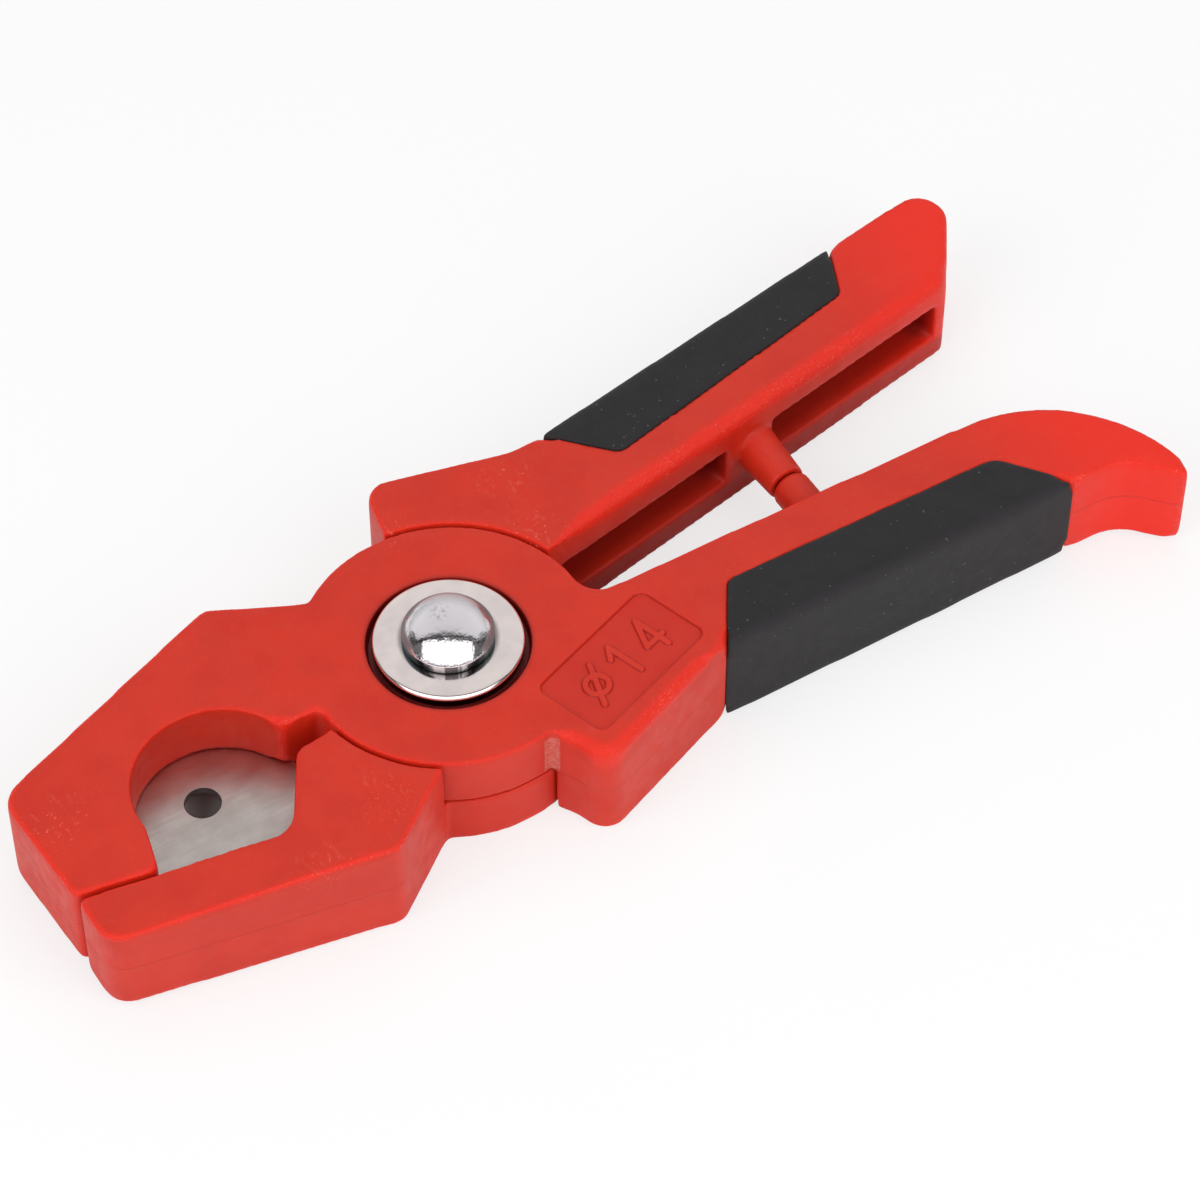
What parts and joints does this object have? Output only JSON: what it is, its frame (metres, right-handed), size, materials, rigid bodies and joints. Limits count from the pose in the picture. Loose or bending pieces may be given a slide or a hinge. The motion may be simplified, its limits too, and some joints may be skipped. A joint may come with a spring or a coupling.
{
  "type": "pneumatic tube cutter",
  "caption": "Plier-type cutter for plastic air tube: a flat blade crosses a round mouth over an anvil jaw, with a riveted lap pivot, soft grips and a latch peg between the handles.",
  "frame": {"origin": "on the pivot axis, at the flat underside of the tool, where the rivet's tail is flush", "axes": "+X along the handles, away from the jaws; +Y towards the straight handle of the anvil lever; +Z along the pivot axis, out of the rivet's domed head"},
  "size_m": [0.1324, 0.0511, 0.0186],
  "materials": {
    "red_plastic": "satin moulded",
    "soft_grip": "fine matte",
    "blade_steel": "ground, satin",
    "washer_steel": "satin",
    "rivet_chrome": "polished",
    "screw_steel": "satin",
    "spring_steel": "drawn wire"
  },
  "bodies": {
    "blade_side": {"blade_lever": "red_plastic", "blade_lever_grip": "soft_grip", "blade": "blade_steel", "blade_screw_front": "screw_steel", "blade_screw_rear": "screw_steel", "pivot_rivet": "rivet_chrome", "pivot_sleeve": "screw_steel", "top_washer": "washer_steel", "bottom_washer": "washer_steel", "opening_spring": "spring_steel"},
    "anvil_side": {"anvil_lever": "red_plastic", "anvil_lever_grip": "soft_grip"}
  },
  "joints": [
    {"name": "lever_pivot", "type": "hinge", "parent": "blade_side", "child": "anvil_side", "pos_m": [0, 0, 0], "axis": [0, 0, 1], "range_deg": [0, 42], "deforming": ["opening_spring"]}
  ]
}
